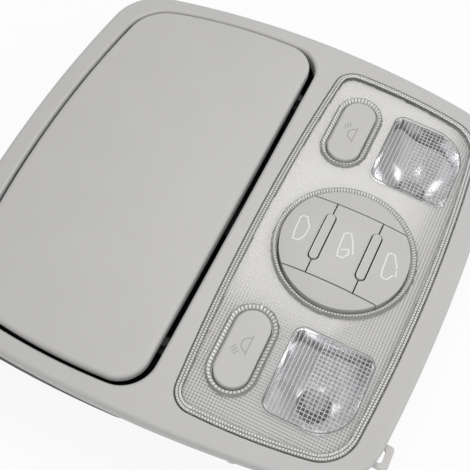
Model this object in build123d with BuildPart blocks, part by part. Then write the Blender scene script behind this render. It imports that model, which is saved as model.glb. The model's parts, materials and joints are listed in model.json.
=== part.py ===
from build123d import *
from math import atan2, cos, degrees, pi, radians, sin, sqrt
import os

os.makedirs("parts", exist_ok=True)

# Overhead console with two map lamps, a switch field and a sunglasses box. Millimetres.
# +Z leaves the visible face, +X runs from the sunglasses door to the lamps, +Y along the lens.
# The plane z = 0 holds the ends of the four bracket bosses, with the origin at their centre.

# crowned face
apex_x = -6.0
apex_z = 46.0
crown_rx = 950.0
crown_ry = 1600.0
crown_reach = 120.0
crown_sweep = 9.0
below = -30.0
above = 60.0

# sunglasses door and its opening
door_left = -97.3
door_right = 0.0
door_half = 95.0
door_bow_left = 6.9
door_bow_right = 0.8
door_drop_left = 7.5
door_drop_right = 1.2
door_radius_left = 20.0
door_radius_right = 14.0
door_mid_x = -38.0
door_proud = 1.6
door_skin = 2.4
door_wall = 2.0
door_edge_round = 1.9
door_bottom_z = 40.5
door_post_inset = 25.3
door_post_pitch = 54.0
door_post_y = 60.0
door_post_r = 3.4
door_post_h = 2.4
door_screw_head_r = 4.4
gap_hinge = 1.8
gap_free = 3.0
gap_end = 1.5

# lens outline
bridge = 7.2
lens_length = 80.8
lens_half = 93.7
lens_bow_left = 3.6
lens_bow_right = 4.8
lens_drop_left = 0.3
lens_drop_right = 6.7
lens_radius_left = 9.5
lens_radius_right = 18.0
lens_mid = 23.8
lens_proud = 0.4
lens_thick = 2.0
lens_wall = 1.6
lens_gap = 0.35
band = 3.1
band_drop = 0.9

# bezel around both
frame_left = 10.5
frame_right = 10.2
frame_end = 9.1
panel_bow_left = 6.9
panel_bow_right = 5.6
panel_drop_left = 7.4
panel_drop_right = 10.2
panel_radius_left = 24.0
panel_radius_right = 30.0
panel_mid_x = -10.0
rim_z = 36.5
rim_round = 2.2
wall = 2.2
lip = 1.8
lip_z = 36.0
lip_drop = 0.8
opening_round = 1.5
seat_round = 0.5

# round switch field
disc_in = 41.1
disc_r = 28.5
disc_dome = 3.0
ring = 3.1
ring_depth = 2.8
ring_wall = 1.2
ring_floor = 0.6
ring_cover = 0.4
chord = 18.9
divider_x = 10.8
rib_length = 23.6
rib_width = 3.8
rib_proud = 0.7
key_pitch = 19.5
key_stem_r = 2.6
key_hole_r = 3.0
key_skin = 2.0
button_gap = 0.6
centre_travel = 1.5
stop_clear = 0.9
pad_top_z = 25.8
pad_r = 5.2
pad_top_r = 3.0
pad_wall = 0.9
plate_t = 2.0

# map lamp switches
oval_in = 20.6
oval_y = 60.2
oval_length = 35.4
oval_width = 15.4
oval_gap = 0.35
button_sunk = 0.4
button_wall = 1.6
button_skin = 1.8
button_round = 0.8
map_travel = 2.5
stem_r = 2.4
stem_dip = 1.2
stem_clear = 0.4
spring_r = 4.2
spring_pitch = 2.0
spring_wire = 0.35
spring_seat = 38.0
spring_seat_r = 5.6
switch_w = 11.0
switch_h = 6.0

# lamp windows, reflectors and bulbs
window_edge = 7.9
window_length = 36.7
window_in = 39.9
window_out = 80.2
window_bow = 1.6
window_radius = 5.5
window_radius_out = 17.0
groove = 0.7
groove_depth = 0.6
bulb_in = 18.6
bulb_y = 59.5
bulb_r = 5.0
bulb_neck_r = 3.6
bulb_neck_z = 16.5
bulb_shoulder = 3.5
bulb_length = 9.5
foot_w = 2.6
foot_l = 6.4
foot_h = 7.2
foot_dip = 1.5
foot_clear = 0.2
foot_slot_l = 9.0
reflector_focus = 8.5
reflector_reach = 34.0
reflector_wall = 1.4
reflector_clear = 0.4
socket_r = 6.6
socket_low = 4.0
socket_h = 12.0
socket_flange = 2.4
socket_flange_t = 1.6
socket_clear = 0.3
bar_w = 4.0
bar_t = 0.6

# inner panel
inner_drop = 3.2
inner_t = 1.6
inner_clear = 0.4
inner_seat = 0.1
cup_z = 31.0
cup_ledge = 1.6
cup_step = 2.5
cup_wall = 1.6
tube_z = 27.0
guide = 0.35

# rear structure
seat_z = 34.5
flange = 2.0
flange_grow = 3.2
floor_z = 12.0
floor_t = 2.0
shell = 1.8
boss_x = 58.0
boss_y = 83.0
boss_r = 5.5
boss_hole_r = 2.2
boss_hole_depth = 9.0
tab_y = 74.3
tab_out = 11.0
tab_width = 10.6
tab_round = 2.0
slot_inset = 4.4
slot_length = 6.4
slot_width = 2.8
post_r = 3.0
post_shelf = 2.4
screw_r = 1.25
screw_clear = 0.2
screw_head_r = 2.6
screw_head_h = 1.8
screw_length = 6.5

# glasses case, hinge and latch
case_clear = 0.6
case_free_clear = 0.2
case_end_clear = 1.0
case_bow_left = 2.7
case_bow_right = 0.6
case_drop_left = 4.5
case_drop_right = 0.9
case_radius_left = 10.0
case_radius_right = 14.0
hinge_in = 5.5
hinge_z = 38.0
pin_r = 1.2
pin_clear = 0.06
ear_r = 2.2
ear_t = 3.2
ear_y = 38.0
ear_root_left = 6.0
ear_root_right = 3.6
knuckle_r = 2.9
knuckle_t = 12.0
knuckle_rise = 3.2
side_clear = 0.4
bumper_y = 70.0
bumper_r = 1.9
bumper_ledge_z = 35.7
bumper_ledge_w = 7.0
bumper_ledge_l = 8.0
bumper_clear = 0.1
latch_top = 25.0
latch_left = -2.5
latch_w = 24.0
latch_slot = 3.0
latch_slot_l = 18.0
latch_slot_depth = 7.0
striker_t = 1.4
striker_w = 16.0
striker_dip = 5.0
striker_z = 27.0
striker_plate = 2.0

# glasses tray and damper
tray_clear = 6.3
tray_short = 2.3
tray_wall = 1.8
tray_inset = 6.0
tray_open_z = 17.0
liner_t = 1.5
liner_clear = 0.3
gear_module = 1.0
sector_teeth = 48
pinion_teeth = 10
gear_y = 87.0
gear_t = 3.4
mesh_deg = -28.0
open_deg = 48.0
backlash = 0.3
tooth_lean = 0.36
sector_rim = 7.0
sector_root_in = 24.8
sector_root_z = 34.0
sector_root_l = 18.0
sector_root_h = 6.2
sector_root_y = 84.0
shaft_r = 2.0
shaft_clear = 0.1
shaft_hole_r = 3.2
damper_r = 7.4
damper_h = 4.2
damper_flange_r = 8.0
damper_flange_t = 1.6
damper_ear = 23.0
damper_ear_w = 6.0
damper_boss_w = 24.0
damper_boss_h = 20.0
damper_boss_back = 7.5
damper_boss_proud = 0.2

# switch board and plug
board_z = 18.0
board_t = 1.6
board_in = 9.8
board_arm = 22.0
board_length = 168.0
board_core_l = 60.0
board_core_w = 66.0
plug_in = 19.8
plug_w = 14.0
plug_l = 22.0
plug_wall = 1.4
plug_low = 2.0
plug_depth = 12.0
pin_pitch = 4.0
pin_w = 0.9
pin_length = 7.5

# places that follow from these sizes
hinge_x = door_left + hinge_in
tray_left = hinge_x + tray_clear
tray_reach = door_right - hinge_x - tray_short
case_left = door_left - gap_hinge - case_clear
case_right = door_right + gap_free + case_free_clear
case_half = door_half + gap_end + case_end_clear
lens_left = door_right + gap_free + bridge
lens_right = lens_left + lens_length
lens_mid_x = lens_left + lens_mid
panel_left = door_left - gap_hinge - frame_left
panel_right = lens_right + frame_right
panel_half = door_half + gap_end + frame_end
disc_x = lens_left + disc_in
oval_x = lens_left + oval_in
window_right = lens_right - window_edge
window_left = window_right - window_length
bulb_x = window_left + bulb_in
inner_grow = -lens_wall - inner_clear
inner_top = -inner_drop
inner_low = -inner_drop - inner_t
plate_z = cup_z + cup_ledge
skirt_z = plate_z + plate_t + centre_travel + stop_clear
key_x = (disc_x - key_pitch, disc_x, disc_x + key_pitch)
board_top = board_z + board_t
board_left = lens_left + board_in
plug_x = lens_left + plug_in
tab_reach = lens_right + tab_out
tab_root = lens_right - tab_out
slot_x = tab_reach - slot_inset
case_posts = ((case_left + 7.1, door_half - 7.0), (case_right + 3.2, door_half + 3.0))
lamp_posts = ((lens_left + 34.8, lens_half + 4.2), (lens_right + 4.6, 30.0))
board_posts = ((board_left + 4.0, 79.0), (board_left + 56.0, 28.0))
door_posts = [(door_left + door_post_inset + k * door_post_pitch, door_post_y) for k in (0, 1)]
ear_out_y = ear_y + ear_t + knuckle_t + 2 * side_clear
knuckle_y = ear_y + ear_t / 2 + side_clear
pitch_sector = gear_module * sector_teeth / 2
pitch_pinion = gear_module * pinion_teeth / 2
pinion_x = hinge_x + (pitch_sector + pitch_pinion) * cos(radians(mesh_deg))
pinion_z = hinge_z + (pitch_sector + pitch_pinion) * sin(radians(mesh_deg))
damper_y = case_half + shell + damper_boss_proud
opening = (gap_hinge, gap_free, gap_end)
up = (Align.CENTER, Align.CENTER, Align.MIN)
down = (Align.CENTER, Align.CENTER, Align.MAX)


def both(x, y):
    # a place and its mirror image across the middle of the console
    return ((x, y), (x, -y))


def face_z(x, y, lift=0.0):
    rise = crown_ry - crown_rx + sqrt(crown_rx**2 - (x - apex_x) ** 2)
    return apex_z - crown_ry + sqrt(rise**2 - y**2) + lift


def face_plane(x, y, lift=0.0):
    slope_x = (x - apex_x) / crown_rx
    slope_y = y / crown_ry
    return Plane((x, y, face_z(x, y, lift)), x_dir=(1, 0, -slope_x), z_dir=(slope_x, slope_y, 1))


def crown(lift):
    # everything under the crowned face, moved up by lift
    axis = Axis((0, 0, apex_z - crown_ry), (1, 0, 0))
    ends = (apex_x - crown_reach, apex_x + crown_reach)
    low = apex_z + lift - crown_rx + sqrt(crown_rx**2 - crown_reach**2)
    with BuildPart() as body:
        with BuildSketch(Plane.XZ):
            with BuildLine():
                ThreePointArc((ends[0], low), (apex_x, apex_z + lift), (ends[1], low))
                Polyline((ends[0], low), (ends[0], below), (ends[1], below), (ends[1], low))
            make_face()
        revolve(axis=axis, revolution_arc=crown_sweep)
    return body.part.rotate(axis, -crown_sweep / 2)


def barrel(left, right, half, bows, mid_x, radii, grow=(0, 0, 0)):
    # four bowed sides with rounded corners; grow moves the left, right and end sides outward
    g_left, g_right, g_end = grow
    bow_left, bow_right, drop_left, drop_right = bows
    a = (left + bow_left - g_left, half - drop_left + g_end)
    b = (right - bow_right + g_right, half - drop_right + g_end)
    with BuildSketch() as shape:
        with BuildLine():
            ThreePointArc((a[0], -a[1]), (mid_x, -half - g_end), (b[0], -b[1]))
            ThreePointArc((b[0], -b[1]), (right + g_right, 0), b)
            ThreePointArc(b, (mid_x, half + g_end), a)
            ThreePointArc(a, (left - g_left, 0), (a[0], -a[1]))
        make_face()
        fillet(shape.vertices().filter_by(lambda v: v.X < mid_x), radii[0] + min(g_left, g_end))
        fillet(shape.vertices().filter_by(lambda v: v.X > b[0] - 0.01), radii[1] + min(g_right, g_end))
    return shape.sketch


def panel_plan(grow=0.0):
    bows = (panel_bow_left, panel_bow_right, panel_drop_left, panel_drop_right)
    radii = (panel_radius_left, panel_radius_right)
    return barrel(panel_left, panel_right, panel_half, bows, panel_mid_x, radii, (grow, grow, grow))


def door_plan(left=0.0, right=0.0, end=0.0):
    bows = (door_bow_left, door_bow_right, door_drop_left, door_drop_right)
    radii = (door_radius_left, door_radius_right)
    return barrel(door_left, door_right, door_half, bows, door_mid_x, radii, (left, right, end))


def lens_plan(grow=0.0):
    bows = (lens_bow_left, lens_bow_right, lens_drop_left, lens_drop_right)
    radii = (lens_radius_left, lens_radius_right)
    return barrel(lens_left, lens_right, lens_half, bows, lens_mid_x, radii, (grow, grow, grow))


def case_plan(grow=0.0):
    bows = (case_bow_left, case_bow_right, case_drop_left, case_drop_right)
    radii = (case_radius_left, case_radius_right)
    return barrel(case_left, case_right, case_half, bows, door_mid_x, radii, (grow, grow, grow))


def window_plan(side, grow=0.0):
    left = window_left - grow
    right = window_right + grow
    near = side * (window_in - grow)
    far = side * (window_out + grow)
    turn = near + side * window_bow
    with BuildSketch() as shape:
        with BuildLine():
            ThreePointArc((left, turn), ((left + right) / 2, near), (right, near))
            Polyline((right, near), (right, far), (left, far), (left, turn))
        make_face()
        fillet(shape.vertices().sort_by_distance((right, far))[0], window_radius_out + grow)
        fillet(shape.vertices().sort_by_distance((right, far))[2:], window_radius + grow)
    return shape.sketch


def disc(places, radius):
    with BuildSketch() as shape:
        with Locations(*places):
            Circle(radius)
    return shape.sketch


def oval(side, grow):
    with BuildSketch() as shape:
        with Locations((oval_x, side * oval_y)):
            SlotOverall(oval_length + 2 * grow, oval_width + 2 * grow, rotation=90)
    return shape.sketch


def arm(start, end, width):
    run = (end[0] - start[0], end[1] - start[1])
    turn = degrees(atan2(run[1], run[0]))
    with BuildSketch() as shape:
        with Locations(((start[0] + end[0]) / 2, (start[1] + end[1]) / 2)):
            SlotCenterToCenter(sqrt(run[0] ** 2 + run[1] ** 2), width, rotation=turn)
    return shape.sketch


def block(plan, low, high):
    with BuildPart() as body:
        with BuildSketch(Plane.XY.offset(low)):
            add(plan)
        extrude(amount=high - low)
    return body.part


def save(body, name):
    body.part.label = name
    export_step(body.part, "parts/" + name + ".step")


under = crown(-lip_drop)

# bezel: crowned panel with a lip around the door opening and the lens, and posts for the rear pieces
with BuildPart() as bezel:
    with BuildSketch(Plane.XY.offset(rim_z)):
        add(panel_plan())
    extrude(amount=above - rim_z)
    add(crown(0), mode=Mode.INTERSECT)
    fillet(bezel.faces().sort_by(Axis.Z)[-1].edges(), rim_round)
    add(block(panel_plan(-wall), below, above) & crown(-wall), mode=Mode.SUBTRACT)
    add(block(door_plan(*[g + lip for g in opening]), lip_z, above) & under)
    add(block(lens_plan(lens_gap + lip), lip_z, above) & under)
    for x, y in case_posts + lamp_posts:
        add(block(disc(both(x, y), post_r), seat_z, above) & under)
    add(block(door_plan(*opening), below, above), mode=Mode.SUBTRACT)
    add(block(lens_plan(lens_gap), below, above), mode=Mode.SUBTRACT)
    rims = bezel.faces().sort_by(Axis.Z)[-1].inner_wires().sort_by(Axis.X)
    fillet(rims[0].edges(), opening_round)
    rims = bezel.faces().sort_by(Axis.Z)[-1].inner_wires().sort_by(Axis.X)
    fillet(rims[-1].edges(), seat_round)
    for x, y in case_posts + lamp_posts:
        add(block(disc(both(x, y), screw_r), seat_z, seat_z + screw_length - flange), mode=Mode.SUBTRACT)
save(bezel, "bezel")

# lens: clear cover with a prism band round its edge and sloped rings at the switches
disc_plane = face_plane(disc_x, 0, lens_proud)
with BuildPart() as lens:
    with BuildSketch(Plane.XY.offset(seat_z)):
        add(lens_plan())
    extrude(amount=above - seat_z)
    add(crown(lens_proud), mode=Mode.INTERSECT)
    face = lens.faces().sort_by(Axis.Z)[-1]
    chamfer(face.edges(), band, band_drop, reference=face)
    add(block(lens_plan(-lens_wall), below, above) & crown(lens_proud - lens_thick), mode=Mode.SUBTRACT)
    with BuildSketch(disc_plane.offset(-ring_depth - ring_floor)):
        Circle(disc_r + ring + ring_wall)
    extrude(amount=ring_depth - ring_cover)
    with BuildSketch(disc_plane.offset(-ring_depth)):
        Circle(disc_r + button_gap)
    with BuildSketch(disc_plane.offset(ring_depth)):
        Circle(disc_r + 2 * ring - button_gap)
    loft(mode=Mode.SUBTRACT)
    with BuildSketch(disc_plane.offset(-ring_depth)):
        Circle(disc_r + button_gap)
    extrude(amount=-ring_depth, mode=Mode.SUBTRACT)
    for side in (1, -1):
        oval_plane = face_plane(oval_x, side * oval_y, lens_proud)
        with BuildSketch(oval_plane.offset(-ring_depth - ring_floor)):
            around = 2 * (ring + ring_wall)
            SlotOverall(oval_length + around, oval_width + around, rotation=90)
        extrude(amount=ring_depth - ring_cover)
        with BuildSketch(oval_plane.offset(-ring_depth)):
            SlotOverall(oval_length + 2 * oval_gap, oval_width + 2 * oval_gap, rotation=90)
        with BuildSketch(oval_plane.offset(ring_depth)):
            wide = 4 * ring - 2 * oval_gap
            SlotOverall(oval_length + wide, oval_width + wide, rotation=90)
        loft(mode=Mode.SUBTRACT)
        with BuildSketch(oval_plane.offset(-ring_depth)):
            SlotOverall(oval_length + 2 * oval_gap, oval_width + 2 * oval_gap, rotation=90)
        extrude(amount=-ring_depth, mode=Mode.SUBTRACT)
        pane = block(window_plan(side, -groove), seat_z, above)
        outline = block(window_plan(side), seat_z, above) - pane
        add(outline - crown(lens_proud - groove_depth), mode=Mode.SUBTRACT)
save(lens, "lens")

# inner panel: opaque backing under the lens with a cup for the switch field and a tube at each map switch
backing = crown(inner_top)
with BuildPart() as inner_panel:
    add(block(lens_plan(inner_grow), tube_z, above) & backing)
    add(crown(inner_low), mode=Mode.SUBTRACT)
    add(block(disc([(disc_x, 0)], disc_r + button_gap + cup_wall), cup_z, above) & backing)
    for side in (1, -1):
        add(block(oval(side, guide + button_wall), tube_z, above) & backing)
    add(block(disc([(disc_x, 0)], disc_r + button_gap), plate_z, above), mode=Mode.SUBTRACT)
    add(block(disc([(disc_x, 0)], disc_r - cup_step), below, above), mode=Mode.SUBTRACT)
    for side in (1, -1):
        add(block(oval(side, guide), below, above), mode=Mode.SUBTRACT)
        add(block(window_plan(side, reflector_wall + reflector_clear), below, above), mode=Mode.SUBTRACT)
save(inner_panel, "inner_panel")

# lamp housing: rear tray with the seat flange, two edge tabs and two bracket bosses
with BuildPart() as lamp_housing:
    add(block(lens_plan(inner_grow), floor_z - floor_t, above) & crown(inner_low - inner_seat))
    with BuildSketch(Plane.XY.offset(seat_z - flange)):
        add(lens_plan(flange_grow))
        for x, y in lamp_posts:
            add(disc(both(x, y), post_r + ring_wall))
        with Locations(*both((tab_reach + tab_root) / 2, tab_y)):
            RectangleRounded(tab_reach - tab_root, tab_width, tab_round)
    extrude(amount=flange)
    add(block(lens_plan(inner_grow - shell), floor_z, above), mode=Mode.SUBTRACT)
    add(block(disc(both(boss_x, boss_y), boss_r), 0, floor_z))
    add(block(disc(both(boss_x, boss_y), boss_hole_r), 0, boss_hole_depth), mode=Mode.SUBTRACT)
    for x, y in board_posts:
        add(block(disc(both(x, y), post_r), floor_z - floor_t, board_z))
        add(block(disc(both(x, y), screw_r), floor_z, board_z), mode=Mode.SUBTRACT)
    with BuildSketch(Plane.XY.offset(seat_z - flange)):
        for x, y in lamp_posts:
            add(disc(both(x, y), screw_r + screw_clear))
        with Locations(*both(slot_x, tab_y)):
            SlotOverall(slot_length, slot_width, rotation=90)
    extrude(amount=flange, mode=Mode.SUBTRACT)
    with BuildSketch(Plane.XY.offset(floor_z - floor_t)):
        add(disc(both(bulb_x, bulb_y), socket_r + socket_clear))
        with Locations((plug_x, 0)):
            Rectangle(plug_w + 2 * socket_clear, plug_l + 2 * socket_clear)
    extrude(amount=floor_t, mode=Mode.SUBTRACT)
save(lamp_housing, "lamp_housing")


def bowl(side, low, plan):
    # room above a paraboloid round the bulb, inside a window-shaped outline
    place = Plane((bulb_x, side * bulb_y, 0), x_dir=(1, 0, 0), z_dir=(0, -1, 0))
    top = low + reflector_reach**2 / (4 * reflector_focus)
    with BuildPart() as room:
        with BuildSketch(place):
            with BuildLine():
                Bezier((0, low), (reflector_reach / 2, low), (reflector_reach, top))
                Polyline((reflector_reach, top), (reflector_reach, above), (0, above), (0, low))
            make_face()
        revolve(axis=Axis((bulb_x, side * bulb_y, 0), (0, 0, 1)))
        add(block(plan, low, above), mode=Mode.INTERSECT)
    return room.part


reflector_top = crown(lens_proud - lens_thick - reflector_clear)
for side, name in ((1, "left"), (-1, "right")):
    spot = (bulb_x, side * bulb_y)
    with BuildPart() as reflector:
        add(bowl(side, floor_z, window_plan(side, reflector_wall)) & reflector_top)
        add(bowl(side, floor_z + reflector_wall, window_plan(side)), mode=Mode.SUBTRACT)
        add(block(lens_plan(inner_grow - shell - socket_clear), below, above), mode=Mode.INTERSECT)
        socket_room = disc([spot], socket_r + 2 * socket_clear)
        add(block(socket_room, below, socket_low + socket_h + 2), mode=Mode.SUBTRACT)
    save(reflector, name + "_reflector")

    # wedge bulb: glass envelope on a flat foot
    with BuildPart() as bulb:
        with Locations((*spot, bulb_neck_z)):
            Cone(bulb_neck_r, bulb_r, bulb_shoulder, align=up)
        with Locations((*spot, bulb_neck_z + bulb_shoulder)):
            Cylinder(bulb_r, bulb_length, align=up)
        with Locations((*spot, bulb_neck_z + bulb_shoulder + bulb_length)):
            Sphere(bulb_r)
        with Locations((*spot, floor_z - foot_dip)):
            Box(foot_w, foot_l, foot_h, align=up)
    save(bulb, name + "_bulb")

    with BuildPart() as socket:
        with Locations((*spot, socket_low)):
            Cylinder(socket_r, socket_h, align=up)
        with Locations((*spot, floor_z - floor_t)):
            Cylinder(socket_r + socket_flange, socket_flange_t, align=down)
        with Locations((*spot, floor_z - foot_dip - foot_clear / 2)):
            Box(foot_w + 2 * foot_clear, foot_slot_l, socket_h, align=up, mode=Mode.SUBTRACT)
    save(socket, name + "_bulb_socket")

    # bus bar: flat strip under the floor from the plug to the bulb socket
    with BuildPart() as bus_bar:
        bar_x = plug_x + plug_w / 2 - bar_w / 2
        bar_end = bulb_x - socket_r - socket_flange
        with BuildSketch(Plane.XY.offset(floor_z - floor_t - bar_t)):
            with Locations(((bar_x - bar_w / 2 + bar_end) / 2, side * bulb_y)):
                Rectangle(bar_end - bar_x + bar_w / 2, bar_w)
            with Locations((bar_x, side * (bulb_y + bar_w / 2 + plug_l / 2) / 2)):
                Rectangle(bar_w, bulb_y + bar_w / 2 - plug_l / 2)
        extrude(amount=bar_t)
    save(bus_bar, name + "_bus_bar")

# switch board with its parts and the plug
with BuildPart() as switch_board:
    with BuildSketch(Plane.XY.offset(board_z)):
        with Locations((board_left + board_arm / 2, 0)):
            Rectangle(board_arm, board_length)
        with Locations((board_left + board_core_l / 2, 0)):
            Rectangle(board_core_l, board_core_w)
        for x, y in board_posts:
            add(disc(both(x, y), screw_r + screw_clear / 2), mode=Mode.SUBTRACT)
    extrude(amount=board_t)
save(switch_board, "switch_board")

# two relays, a driver chip, four chip resistors and two capacitors
with BuildPart() as board_parts:
    with Locations((board_left + 42, 17, board_top), (board_left + 42, -17, board_top)):
        Box(12, 9, 9, align=up)
    with Locations((board_left + 21, 15, board_top)):
        Box(9, 7, 1.4, align=up)
    with Locations(*[(board_left + 11 + 5 * k, 24, board_top) for k in range(4)]):
        Box(1.6, 3.2, 1.4, align=up)
    with Locations((board_left + 21, -16, board_top), (board_left + 13, -20, board_top)):
        Cylinder(3.2, 8, align=up)
save(board_parts, "board_parts")

with BuildPart() as plug_header:
    with Locations((plug_x, 0, plug_low)):
        Box(plug_w, plug_l, board_z - plug_low, align=up)
        Box(plug_w - 2 * plug_wall, plug_l - 2 * plug_wall, plug_depth, align=up, mode=Mode.SUBTRACT)
save(plug_header, "plug_header")

with BuildPart() as plug_pins:
    with BuildSketch(Plane.XY.offset(plug_low + plug_depth)):
        with Locations((plug_x, 0)):
            with GridLocations(pin_pitch, pin_pitch, 2, 4):
                Rectangle(pin_w, pin_w)
    extrude(amount=-pin_length)
save(plug_pins, "plug_pins")

# round switch field: dome shared by the fixed frame and the three buttons
dome_r = (disc_r**2 + disc_dome**2) / (2 * disc_dome)


def dome(lift):
    with BuildPart() as ball:
        with Locations(disc_plane.offset(disc_dome - dome_r).origin):
            Sphere(dome_r + lift)
    return ball.part


def ribs(grow):
    with BuildSketch() as shape:
        with Locations((disc_x - divider_x, 0), (disc_x + divider_x, 0)):
            SlotOverall(rib_length + 2 * grow, rib_width + 2 * grow, rotation=90)
    return shape.sketch


def segments(inset):
    with BuildSketch() as shape:
        with Locations((disc_x, 0)):
            Circle(disc_r - inset)
            Rectangle(3 * disc_r, 2 * (chord + inset), mode=Mode.SUBTRACT)
    return shape.sketch


def key_plan(index, inset):
    with BuildSketch() as shape:
        with Locations((disc_x, 0)):
            Circle(disc_r - inset)
            Rectangle(3 * disc_r, 2 * (chord - button_gap - inset), mode=Mode.INTERSECT)
        if index == 1:
            with Locations((disc_x, 0)):
                Rectangle(2 * divider_x - button_gap - 2 * inset, 3 * disc_r, mode=Mode.INTERSECT)
        else:
            edge = divider_x + button_gap / 2 + inset
            with Locations((disc_x + (index - 1) * (edge + disc_r), 0)):
                Rectangle(2 * disc_r, 3 * disc_r, mode=Mode.INTERSECT)
        add(ribs(button_gap + inset), mode=Mode.SUBTRACT)
    return shape.sketch


with BuildPart() as switch_frame:
    add(block(segments(0), plate_z, above) & dome(0))
    add(block(segments(key_skin), plate_z + plate_t, above) & dome(-key_skin), mode=Mode.SUBTRACT)
    add(block(ribs(0), plate_z, above) & dome(rib_proud))
    add(block(disc([(disc_x, 0)], disc_r), plate_z, plate_z + plate_t))
    add(block(disc([(x, 0) for x in key_x], key_hole_r), plate_z, plate_z + plate_t), mode=Mode.SUBTRACT)
save(switch_frame, "switch_frame")

for index, name in enumerate(("door_side", "centre", "rear")):
    with BuildPart() as key:
        add(block(key_plan(index, 0), skirt_z, above) & dome(0))
        add(block(key_plan(index, button_wall), below, above) & dome(-key_skin), mode=Mode.SUBTRACT)
        add(block(disc([(key_x[index], 0)], key_stem_r), pad_top_z, above) & dome(-key_skin / 2))
    save(key, name + "_button")
    with BuildPart() as pad:
        pad_h = pad_top_z - board_top
        with Locations((key_x[index], 0, board_top)):
            Cone(pad_r, pad_top_r, pad_h, align=up)
            Cone(pad_r - pad_wall, pad_top_r - pad_wall, pad_h - pad_wall, align=up, mode=Mode.SUBTRACT)
    save(pad, name + "_pad")

# map lamp buttons, each on a latching push switch with a coil spring
switch_top = board_top + switch_h
for side, name in ((1, "left"), (-1, "right")):
    spot = (oval_x, side * oval_y)
    with BuildPart() as map_button:
        add(block(oval(side, 0), tube_z + map_travel + 1, above) & crown(lens_proud - button_sunk))
        fillet(map_button.faces().sort_by(Axis.Z)[-1].edges(), button_round)
        hollow = block(oval(side, -button_wall), below, above) & crown(lens_proud - button_sunk - button_skin)
        add(hollow, mode=Mode.SUBTRACT)
        add(block(disc([spot], spring_seat_r), spring_seat, face_z(*spot) - button_skin / 2))
        add(block(disc([spot], stem_r), switch_top - stem_dip, spring_seat + button_skin / 2))
    save(map_button, name + "_map_button")

    with BuildPart() as push_switch:
        with BuildSketch(Plane.XY.offset(board_top)):
            with Locations(spot):
                RectangleRounded(switch_w, switch_w, 1)
        extrude(amount=switch_h)
        add(block(disc([spot], stem_r + stem_clear), board_top + stem_dip, above), mode=Mode.SUBTRACT)
    save(push_switch, name + "_push_switch")

    with BuildPart() as spring:
        low = switch_top + spring_wire
        with BuildLine() as coil:
            Helix(spring_pitch, spring_seat - spring_wire - low, spring_r, center=(*spot, low))
        with BuildSketch(Plane(coil.line @ 0, z_dir=coil.line % 0)):
            Circle(spring_wire)
        sweep(path=coil.line)
    save(spring, name + "_return_spring")


def hinge_rod(radius, y0, y1):
    with BuildPart() as rod:
        with BuildSketch(Plane((hinge_x, min(y0, y1), hinge_z), x_dir=(1, 0, 0), z_dir=(0, 1, 0))):
            Circle(radius)
        extrude(amount=abs(y1 - y0))
    return rod.part


def ear(y):
    # upright on the case floor that holds one end of a hinge pin
    foot_z = floor_z - floor_t / 2
    with BuildPart() as leg:
        with BuildSketch(Plane((hinge_x, y + ear_t / 2, 0), x_dir=(1, 0, 0), z_dir=(0, -1, 0))):
            with BuildLine():
                Line((-ear_root_left, foot_z), (ear_root_right, foot_z))
                Polyline((ear_root_right, foot_z), (ear_r, hinge_z), (-ear_r, hinge_z), (-ear_root_left, foot_z))
            make_face()
            with Locations((0, hinge_z)):
                Circle(ear_r)
                Circle(pin_r, mode=Mode.SUBTRACT)
        extrude(amount=ear_t)
    return leg.part


# glasses case: fixed well behind the door, with hinge posts, bumper ledges and two bracket bosses
boss_plane = Plane((pinion_x, damper_y - damper_boss_back, pinion_z), x_dir=(1, 0, 0), z_dir=(0, 1, 0))
with BuildPart() as glasses_case:
    add(block(case_plan(shell), floor_z - floor_t, seat_z))
    with BuildSketch(Plane.XY.offset(seat_z - flange)):
        for side in (1, -1):
            post = case_posts[1]
            root = (-post_r * 2, side * (post[1] - post_r * 2.7))
            add(arm(root, (post[0], side * post[1]), 2 * post_r + 2))
    extrude(amount=flange)
    with BuildSketch(boss_plane):
        RectangleRounded(damper_boss_w, damper_boss_h, post_r)
    extrude(amount=damper_boss_back)
    add(block(case_plan(), floor_z, above), mode=Mode.SUBTRACT)
    corner = block(case_plan(shell), seat_z - flange, seat_z)
    add(block(disc(both(*case_posts[0]), post_r + post_shelf), seat_z - flange, seat_z) & corner)
    with BuildSketch(Plane.XY.offset(bumper_ledge_z)):
        with Locations(*both(door_right + gap_free / 2, bumper_y)):
            Rectangle(bumper_ledge_w, bumper_ledge_l)
    extrude(amount=-2 * shell)
    for y in (ear_y, ear_out_y):
        add(ear(y))
        add(ear(-y))
    add(block(disc(both(-boss_x, boss_y), boss_r), 0, floor_z))
    add(block(disc(both(-boss_x, boss_y), boss_hole_r), 0, boss_hole_depth), mode=Mode.SUBTRACT)
    for x, y in case_posts:
        add(block(disc(both(x, y), screw_r + screw_clear), seat_z - flange, seat_z), mode=Mode.SUBTRACT)
    with BuildSketch(boss_plane):
        Circle(shaft_hole_r)
    extrude(amount=damper_boss_back, mode=Mode.SUBTRACT)
save(glasses_case, "glasses_case")

with BuildPart() as hinge_pins:
    for side in (1, -1):
        add(hinge_rod(pin_r, side * (ear_y - ear_t / 2), side * (ear_out_y + ear_t / 2)))
save(hinge_pins, "hinge_pins")

with BuildPart() as door_bumpers:
    bumper_plan = disc(both(door_right + case_free_clear, bumper_y), bumper_r)
    add(block(bumper_plan, bumper_ledge_z, door_bottom_z - bumper_clear))
save(door_bumpers, "door_bumpers")

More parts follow.
